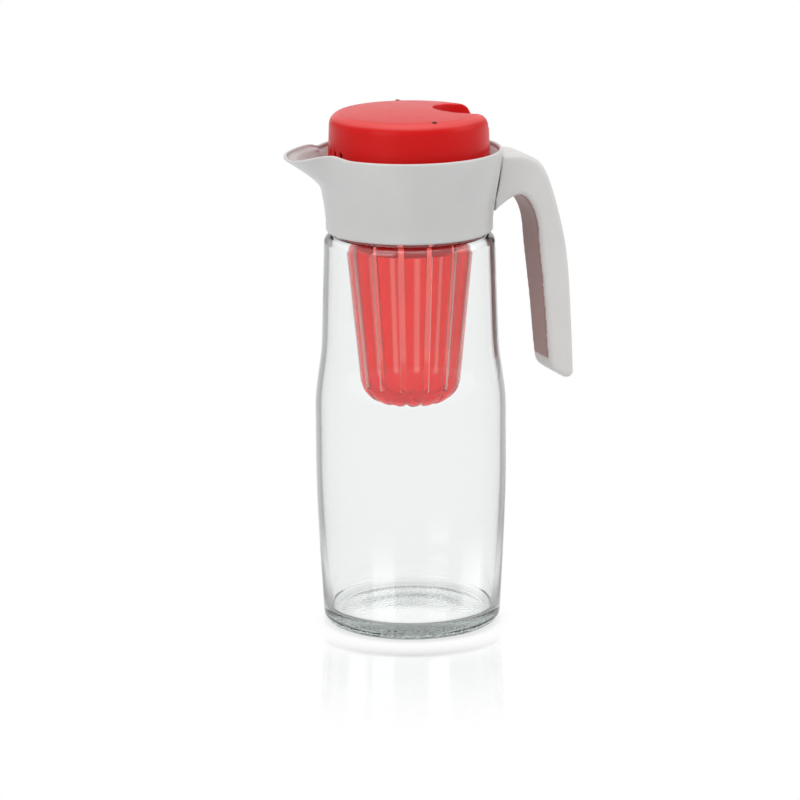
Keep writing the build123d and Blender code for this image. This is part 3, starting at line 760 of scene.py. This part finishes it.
def ring_tree(material):
    """Geometry Nodes tree that repeats a piece round the upright axis, and its two number inputs."""
    tree = bpy.data.node_groups.new("ring_of_pieces", "GeometryNodeTree")
    face = tree.interface
    face.new_socket("Piece", in_out="INPUT", socket_type="NodeSocketGeometry")
    count = face.new_socket("Count", in_out="INPUT", socket_type="NodeSocketInt")
    first = face.new_socket("First angle", in_out="INPUT", socket_type="NodeSocketFloat")
    face.new_socket("Ring", in_out="OUTPUT", socket_type="NodeSocketGeometry")

    def node(kind, **values):
        made = tree.nodes.new(kind)
        for key, value in values.items():
            setattr(made, key, value)
        return made

    def link(source, target):
        tree.links.new(source, target)

    given = node("NodeGroupInput")
    line = node("GeometryNodeMeshLine")
    line.inputs["Offset"].default_value = (0, 0, 0)
    link(given.outputs["Count"], line.inputs["Count"])
    step = node("ShaderNodeMath", operation="DIVIDE")
    step.inputs[0].default_value = 2 * math.pi
    link(given.outputs["Count"], step.inputs[1])
    turn = node("ShaderNodeMath", operation="MULTIPLY_ADD")
    link(node("GeometryNodeInputIndex").outputs["Index"], turn.inputs[0])
    link(step.outputs["Value"], turn.inputs[1])
    link(given.outputs["First angle"], turn.inputs[2])
    euler = node("ShaderNodeCombineXYZ")
    link(turn.outputs["Value"], euler.inputs["Z"])
    rotation = node("FunctionNodeEulerToRotation")
    link(euler.outputs["Vector"], rotation.inputs["Euler"])
    copies = node("GeometryNodeInstanceOnPoints")
    link(line.outputs["Mesh"], copies.inputs["Points"])
    link(given.outputs["Piece"], copies.inputs["Instance"])
    link(rotation.outputs["Rotation"], copies.inputs["Rotation"])
    real = node("GeometryNodeRealizeInstances")
    link(copies.outputs["Instances"], real.inputs["Geometry"])
    weld = node("GeometryNodeMergeByDistance")
    weld.inputs["Distance"].default_value = 0.00001
    link(real.outputs["Geometry"], weld.inputs["Geometry"])
    finish = node("GeometryNodeSetMaterial")
    finish.inputs["Material"].default_value = material
    link(weld.outputs["Geometry"], finish.inputs["Geometry"])
    link(finish.outputs["Geometry"], node("NodeGroupOutput").inputs["Ring"])
    return tree, count.identifier, first.identifier


def ring_of(name, mesh, number, angle, material):
    """Plain object with copies of a mesh round the upright axis."""
    obj = new_object(name, mesh)
    tree, count, first = ring_tree(material)
    ring = obj.modifiers.new("Ring", "NODES")
    ring.node_group = tree
    ring[count] = number
    ring[first] = angle
    return plain_mesh(obj)


def joined(name, *parts):
    """One object from several, with faces outwards."""
    shape = bmesh.new()
    for part in parts:
        shape.from_mesh(part.data)
        bpy.data.objects.remove(part)
    bmesh.ops.recalc_face_normals(shape, faces=shape.faces)
    mesh = bpy.data.meshes.new(name)
    shape.to_mesh(mesh)
    shape.free()
    return new_object(name, mesh)


def basket_rows():
    """Outer and inner point of each row from the basket's middle to its top, and its place in the slot.

    The place is None outside the slots, or the height of the row."""
    corner_x, corner_z = CUP_CENTRE
    foot_in = CUP_FLOOR + CUP_WALL
    rows = [((r, CUP_FLOOR), (r, foot_in), None) for r in (0, 3.0, 6.0, 9.0, corner_x)]
    slot_start = math.degrees(math.acos((corner_z - SLOT_LOW) / CUP_ROUND))
    for turn in (8, 16, 24, 32, 40, 48, 56, 63):
        rows.append((*cup_corner(turn), None))
    for turn in (slot_start, 70.2, 72, 74.5, 78, 84, 90):
        outer, inner = cup_corner(turn)
        rows.append((outer, inner, outer[1]))
    low_out = corner_x + CUP_ROUND
    low_in = low_out - CUP_WALL
    lean, rise, steps = 7.1, CUP_TOP - corner_z, 12
    for k in range(1, steps + 1):
        t = k / steps
        z = corner_z + rise * t
        rows.append(((low_out + lean * t, z), (low_in + lean * t, z + t), z))
    rows.append(((34.85, 205.2), (32.0, 205.8), 205.2))
    rows.append(((36.0, 206.3), (32.4, 206.6), 206.3))
    for z in (207.6, 208.6, 209.6, 210.65, 211.3, 211.8, 212.1, SLOT_TOP):
        rows.append(((BAND_R, z), (TUBE_BORE, z), z))
    for z in (213.5, 216.0, 219.0, 221.0):
        rows.append(((BAND_R, z), (TUBE_BORE, z), None))
    rows.append(((36.1, 221.5), (TUBE_BORE, 221.6), None))
    rows.append(((35.7, 221.7), (TUBE_BORE, 222.2), None))
    rows.append(((34.6, 221.75), (TUBE_BORE, 222.8), None))
    rows.append(((TUBE_R, 222.0), (TUBE_BORE, 223.4), None))
    for z in (226.0, 229.0, 231.8):
        rows.append(((TUBE_R, z), (TUBE_BORE, z), None))
    rows.append(((34.0, 232.2), (33.1, 232.2), None))
    return rows


def cup_corner(degrees):
    """Outer and inner point on the round corner under the cup."""
    a = math.radians(degrees)
    x, z = CUP_CENTRE
    return tuple(
        (x + r * math.sin(a), z - r * math.cos(a)) for r in (CUP_ROUND, CUP_ROUND - CUP_WALL)
    )


def slot_half(z, width):
    """Half width of a slot with round ends at a height."""
    rest = min(z - SLOT_LOW, SLOT_TOP - z)
    half = width / 2
    if rest >= half:
        return half
    return max(0.03, math.sqrt(max(0.0, half * half - (half - rest) ** 2)))


def basket_sector(slots, width):
    """Mesh of one slot and the half bars beside it."""
    edge = math.pi / slots
    shape = bmesh.new()
    bars, gaps = 5, 6
    first, last = bars, bars + gaps
    outers, inners, open_rows = [], [], []
    for outer, inner, place_in_slot in basket_rows():
        open_rows.append(place_in_slot is not None)
        if outer[0] == 0:
            outers.append([shape.verts.new((0, 0, outer[1] * MM))])
            inners.append([shape.verts.new((0, 0, inner[1] * MM))])
            continue
        half = slot_half(place_in_slot, width) if open_rows[-1] else width / 2
        rows = []
        for side, (r, z) in enumerate((outer, inner)):
            lean = min(half / r, 0.5 * edge)
            angles = [-edge + (edge - lean) * k / bars for k in range(bars)]
            angles += [-lean + 2 * lean * k / gaps for k in range(gaps + 1)]
            angles += [lean + (edge - lean) * k / bars for k in range(1, bars + 1)]
            groove = 0.0
            if side == 0 and not open_rows[-1] and z < SLOT_LOW + 0.3:
                groove = 0.9 * ease(r, 4.0, 12.0)
            row = []
            for k, a in enumerate(angles):
                dip = 0.0
                if first < k < last:
                    dip = groove * math.sin(math.pi * (k - first) / gaps)
                swell = 0.35 * groove * math.cos(math.pi / 2 * min(1, (edge - abs(a)) / (edge - lean)))
                out = r + (swell - dip) * ease(r, 9.0, 24.0)
                up = z + (dip - swell) * (1 - ease(r, 14.0, 24.0))
                row.append(shape.verts.new((out * MM * math.cos(a), out * MM * math.sin(a), up * MM)))
            rows.append(row)
        outers.append(rows[0])
        inners.append(rows[1])
    columns = len(outers[-1])
    for k in range(len(outers) - 1):
        through = open_rows[k] and open_rows[k + 1]
        for skin in (outers, inners):
            for c in range(columns - 1):
                if through and first <= c < last:
                    continue
                if len(skin[k]) == 1:
                    shape.faces.new((skin[k][0], skin[k + 1][c], skin[k + 1][c + 1]))
                else:
                    shape.faces.new((skin[k][c], skin[k][c + 1], skin[k + 1][c + 1], skin[k + 1][c]))
        if through:
            for c in (first, last):
                shape.faces.new((outers[k][c], outers[k + 1][c], inners[k + 1][c], inners[k][c]))
        if open_rows[k] != open_rows[k + 1]:
            end = k if open_rows[k] else k + 1
            for c in range(first, last):
                shape.faces.new((outers[end][c], outers[end][c + 1], inners[end][c + 1], inners[end][c]))
    for c in range(columns - 1):
        shape.faces.new((outers[-1][c], outers[-1][c + 1], inners[-1][c + 1], inners[-1][c]))
    mesh = bpy.data.meshes.new("basket_sector")
    shape.to_mesh(mesh)
    shape.free()
    return mesh


def lug_block():
    """Mesh of one bayonet lug, bent round the basket's tube."""
    shape = bmesh.new()
    bmesh.ops.create_cube(shape, size=1.0)
    bmesh.ops.subdivide_edges(shape, edges=shape.edges, cuts=5, use_grid_fill=True)
    for v in shape.verts:
        a = LUG_ANGLE * v.co.y
        r = LUG_R + LUG_DEPTH * v.co.x
        z = LUG_Z + LUG_HEIGHT * v.co.z
        v.co = (r * MM * math.cos(a), r * MM * math.sin(a), z * MM)
    mesh = bpy.data.meshes.new("lug_block")
    shape.to_mesh(mesh)
    shape.free()
    return mesh


class PITCHER_OT_glass_jar(bpy.types.Operator):
    """Turn the glass jar with its screw neck"""

    bl_idname = "pitcher.glass_jar"
    bl_label = "Glass jar"

    def execute(self, context):
        glass = settings("glass")
        obj = lathe("jar_glass", jar_profile(), glass.segments, neck_thread)
        smooth(obj, 50)
        obj.visible_shadow = False
        place(obj, "jar", "glass", clear_glass(glass.tint, glass.ripple), "glass_jar")
        return {"FINISHED"}


class PITCHER_OT_collar(bpy.types.Operator):
    """Finish the pouring collar"""

    bl_idname = "pitcher.collar"
    bl_label = "Pouring collar"

    def execute(self, context):
        collar = settings("collar")
        obj = ring_loft("collar_moulding", collar_angles(), collar_section)
        smooth(obj, 40)
        white = moulded_plastic("off_white", collar.colour, roughness=0.33)
        place(obj, "collar", "collar", white, "pouring_collar")
        return {"FINISHED"}


class PITCHER_OT_handle(bpy.types.Operator):
    """Finish the handle shell and its inner cover"""

    bl_idname = "pitcher.handle"
    bl_label = "Handle"

    def execute(self, context):
        handle = settings("handle")
        shell = soften(cad_copy("handle_shell", "handle_moulding"), MOULDING_GRID, passes=3)
        white = moulded_plastic("handle_white", handle.colour, roughness=0.42)
        place(shell, "collar", "handle", white, "handle_shell")
        cover = soften(cad_copy("handle_cover", "cover_strip"), COVER_GRID, passes=2)
        # Painted shade with a painted red reflection: the cover's dark warm grey
        grey = moulded_plastic("cover_painted_shade", handle.cover, roughness=0.5)
        place(cover, "collar", "cover", grey, "handle_cover")
        return {"FINISHED"}


class PITCHER_OT_lid(bpy.types.Operator):
    """Finish the lid cap and the plug inside it"""

    bl_idname = "pitcher.lid"
    bl_label = "Lid"

    def execute(self, context):
        lid = settings("lid")
        red = moulded_plastic("satin_red", lid.colour, lid.roughness, shine=LID_SHINE)
        cap = soften(cad_copy("lid_cap", "lid_dome"), MOULDING_GRID, passes=6)
        place(cap, "lid", "lid", lid_red_with_painted_light(lid), "lid_cap")
        plug = cad_copy("lid_plug", "lid_plug_moulding")
        smooth(plug, 35)
        place(plug, "lid", "plug", red, "lid_plug")
        return {"FINISHED"}


class PITCHER_OT_basket(bpy.types.Operator):
    """Build the slotted fruit basket"""

    bl_idname = "pitcher.basket"
    bl_label = "Infuser basket"

    def execute(self, context):
        basket = settings("basket")
        red = clear_red(basket.colour, basket.clear)
        slots = basket.slots
        cup = ring_of("cup", basket_sector(slots, basket.slot_width), slots, SLOT_FIRST, red)
        lugs = ring_of("lugs", lug_block(), LUGS, LUG_FIRST, red)
        obj = joined("fruit_basket", cup, lugs)
        smooth(obj, 38)
        place(obj, "basket", "basket", red, "infuser_basket")
        return {"FINISHED"}


class PITCHER_OT_seals(bpy.types.Operator):
    """Give the two silicone rings their finish"""

    bl_idname = "pitcher.seals"
    bl_label = "Silicone rings"

    def execute(self, context):
        silicone = moulded_plastic("silicone", settings("seal").colour, roughness=0.6, grain=0.1)
        for node in ("neck_gasket", "lid_seal"):
            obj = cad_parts[node]
            obj.data.materials.clear()
            obj.data.materials.append(silicone)
        return {"FINISHED"}


class PITCHER_OT_stage(bpy.types.Operator):
    """Set the floor, the lamps and the camera"""

    bl_idname = "pitcher.stage"
    bl_label = "Stage"

    def execute(self, context):
        stage = settings("stage")
        set_floor(stage)
        set_world(stage)
        soft_lamp("overhead_softbox", (-0.15, -0.25, 1.55), 1.3, stage.power)
        soft_lamp("left_softbox", (-1.35, -0.85, 0.75), 0.9, stage.power * 0.55)
        soft_lamp("right_softbox", (1.25, -0.55, 0.85), 0.9, stage.power * 0.45)
        set_camera(stage)
        context.scene.view_settings.view_transform = "Standard"
        return {"FINISHED"}


def seen_ray(tree):
    """1 for rays from the camera, and for mirrored and refracted rays."""
    rays = tree.nodes.new("ShaderNodeLightPath").outputs
    bent = arith(tree, "MAXIMUM", rays["Is Glossy Ray"], rays["Is Transmission Ray"])
    return arith(tree, "MAXIMUM", rays["Is Camera Ray"], bent)


def edge_light(tree, depth):
    """Brightness for refracted rays: lower for those that the glass turned back inside its wall."""
    rays = tree.nodes.new("ShaderNodeLightPath").outputs
    turned = arith(tree, "GREATER_THAN", rays["Glossy Depth"], 0.5)
    short = arith(tree, "LESS_THAN", rays["Transmission Depth"], 3.5)
    inside = arith(tree, "MULTIPLY", rays["Is Transmission Ray"], arith(tree, "MULTIPLY", turned, short))
    return arith(tree, "SUBTRACT", 1.0, arith(tree, "MULTIPLY", inside, depth))


def mix_shaders(tree, share, first, second):
    node = tree.nodes.new("ShaderNodeMixShader")
    tree.links.new(share, node.inputs["Fac"])
    tree.links.new(first, node.inputs[1])
    tree.links.new(second, node.inputs[2])
    return node.outputs["Shader"]


def set_floor(stage):
    """White floor that mirrors the foot and takes a little shade under it, with painted shade in a ring under
    the foot and a painted brighter disc under the middle of the base.
    """
    shape = bmesh.new()
    bmesh.ops.create_circle(shape, cap_ends=True, segments=96, radius=FLOOR_R)
    mesh = bpy.data.meshes.new("floor")
    shape.to_mesh(mesh)
    shape.free()
    floor = new_object("floor", mesh)
    mat, tree, principled, coords = shader("pale_floor")
    principled.inputs["Base Color"].default_value = tuple(stage.floor)
    principled.inputs["Roughness"].default_value = 0.5
    white = tree.nodes.new("ShaderNodeEmission")
    mirror = tree.nodes.new("ShaderNodeBsdfGlossy")
    mirror.inputs["Roughness"].default_value = 0.0
    mirror.inputs["Color"].default_value = WHITE
    distance = vector_math(tree, "LENGTH", coords)
    far_fade = fade_out(tree, distance, *MIRROR_FADE, stage.mirror)
    sheen = arith(tree, "MULTIPLY", far_fade, fade_out(tree, distance, *MIRROR_START))
    contact = fade_out(tree, distance, *CONTACT_FADE, stage.contact)
    # Painted shade: a grey ring under the jar's foot in the white that the floor shows
    under = fade_out(tree, distance, *RING_OUTER)
    ring = arith(tree, "MULTIPLY", under, fade_out(tree, distance, *RING_INNER))
    tree.links.new(ramp(tree, ring, WHITE, FOOT_RING_SHADE, 0.0, 1.0), white.inputs["Color"])
    # Painted light: a brighter disc under the middle of the base
    under_glow = spread(tree, fade_out(tree, distance, *UNDER_FADE), 1.0, PAINTED_UNDER_LIGHT)
    level = arith(tree, "MULTIPLY", edge_light(tree, stage.edge_depth), under_glow)
    tree.links.new(level, white.inputs["Strength"])
    seen = mix_shaders(tree, sheen, white.outputs["Emission"], mirror.outputs["BSDF"])
    seen = mix_shaders(tree, contact, seen, principled.outputs["BSDF"])
    final = mix_shaders(tree, seen_ray(tree), principled.outputs["BSDF"], seen)
    tree.links.new(final, tree.nodes["Material Output"].inputs["Surface"])
    mesh.materials.append(mat)


def set_world(stage):
    """White to the eye, even light on the object, and dark strips that the glass and gloss pick up."""
    world = bpy.data.worlds.new("studio")
    bpy.context.scene.world = world
    world.use_nodes = True
    tree = world.node_tree
    back = tree.nodes["Background"]
    back.inputs["Color"].default_value = WHITE

    def calc(operation, *values):
        return arith(tree, operation, *values)

    x, y, z = axes(tree, tree.nodes.new("ShaderNodeTexCoord").outputs["Generated"])
    turn = calc("SUBTRACT", calc("ARCTAN2", y, x), stage.strip_angle)
    strip = smooth_step(tree, calc("COSINE", calc("MULTIPLY", turn, STRIPS)), -0.2, 0.7, 0.0, 1.0)
    strip = calc("MULTIPLY", strip, fade_out(tree, z, 0.45, 0.75))
    dark = calc("SUBTRACT", 1.0, calc("MULTIPLY", strip, stage.strip_depth))
    ahead = calc("ADD", calc("MULTIPLY", x, VIEW_AHEAD[0]), calc("MULTIPLY", y, VIEW_AHEAD[1]))
    above = calc("ADD", ahead, calc("MULTIPLY", z, 0.6))
    front = smooth_step(tree, above, -0.5, 0.35, stage.front_level, 1.0)
    rays = tree.nodes.new("ShaderNodeLightPath").outputs
    camera, glossy, through = (rays["Is %s Ray" % kind] for kind in ("Camera", "Glossy", "Transmission"))
    room = calc("MAXIMUM", calc("MULTIPLY", dark, front), rays["Is Singular Ray"])
    mirrored = calc("MULTIPLY", glossy, room)
    refracted = calc("MULTIPLY", through, calc("MULTIPLY", dark, edge_light(tree, stage.edge_depth)))
    seen = calc("MAXIMUM", camera, calc("MAXIMUM", mirrored, refracted))
    known = calc("MAXIMUM", camera, calc("MAXIMUM", glossy, through))
    rest = calc("MULTIPLY", calc("SUBTRACT", 1.0, known), stage.ambient)
    tree.links.new(calc("ADD", seen, rest), back.inputs["Strength"])


def soft_lamp(name, position, size, power):
    """Square softbox that faces the middle of the jar."""
    lamp = bpy.data.lights.new(name, "AREA")
    lamp.shape = "SQUARE"
    lamp.size = size
    lamp.energy = power
    obj = bpy.data.objects.new(name, lamp)
    obj.location = position
    obj.rotation_euler = (Vector(LAMP_AIM) - Vector(position)).to_track_quat("-Z", "Y").to_euler()
    bpy.context.scene.collection.objects.link(obj)


def set_camera(stage):
    """Camera where the photograph was taken from: distance and height in metres, angles in degrees."""
    azimuth, yaw, tilt, roll = (math.radians(a) for a in (-20.0, 0.146, 13.346, -0.42))
    away, height = 2.1959, 0.63985
    turn = azimuth + yaw
    ahead = Vector((
        -math.sin(turn) * math.cos(tilt), math.cos(turn) * math.cos(tilt), -math.sin(tilt),
    ))
    right = Vector((math.cos(turn), math.sin(turn), 0))
    up = right.cross(ahead)
    across = right * math.cos(roll) + up * math.sin(roll)
    upright = up * math.cos(roll) - right * math.sin(roll)
    lens = bpy.data.cameras.new("photo_camera")
    lens.sensor_width = 36.0
    lens.lens = stage.lens
    lens.clip_end = 50
    cam = bpy.data.objects.new("photo_camera", lens)
    cam.matrix_world = Matrix((
        (across.x, upright.x, -ahead.x, away * math.sin(azimuth)),
        (across.y, upright.y, -ahead.y, -away * math.cos(azimuth)),
        (across.z, upright.z, -ahead.z, height),
        (0, 0, 0, 1),
    ))
    bpy.context.scene.collection.objects.link(cam)
    bpy.context.scene.camera = cam


class PITCHER_PT_sidebar(bpy.types.Panel):
    """Lists the steps that build the pitcher"""

    bl_idname = "PITCHER_PT_sidebar"
    bl_label = "Pitcher"
    bl_space_type = "VIEW_3D"
    bl_region_type = "UI"
    bl_category = "Pitcher"

    def draw(self, context):
        for operator in OPERATORS:
            self.layout.operator(operator.bl_idname)
        for name, group in GROUPS.items():
            box = self.layout.box()
            box.label(text=name.capitalize())
            for prop in group.__annotations__:
                box.prop(settings(name), prop)


GROUPS = {
    "glass": GlassSettings,
    "collar": CollarSettings,
    "handle": HandleSettings,
    "lid": LidSettings,
    "basket": BasketSettings,
    "seal": SealSettings,
    "stage": StageSettings,
}
OPERATORS = (
    PITCHER_OT_glass_jar,
    PITCHER_OT_collar,
    PITCHER_OT_handle,
    PITCHER_OT_lid,
    PITCHER_OT_basket,
    PITCHER_OT_seals,
    PITCHER_OT_stage,
)


def register():
    for name, group in GROUPS.items():
        bpy.utils.register_class(group)
        setattr(bpy.types.Scene, "pitcher_" + name, bpy.props.PointerProperty(type=group))
    for operator in OPERATORS:
        bpy.utils.register_class(operator)
    bpy.utils.register_class(PITCHER_PT_sidebar)


def unregister():
    bpy.utils.unregister_class(PITCHER_PT_sidebar)
    for operator in reversed(OPERATORS):
        bpy.utils.unregister_class(operator)
    for name, group in reversed(GROUPS.items()):
        delattr(bpy.types.Scene, "pitcher_" + name)
        bpy.utils.unregister_class(group)


def main():
    register()
    bpy.ops.pitcher.glass_jar()
    bpy.ops.pitcher.collar()
    bpy.ops.pitcher.handle()
    bpy.ops.pitcher.lid()
    bpy.ops.pitcher.basket()
    bpy.ops.pitcher.seals()
    bpy.ops.pitcher.stage()


if __name__ == "__main__":
    main()
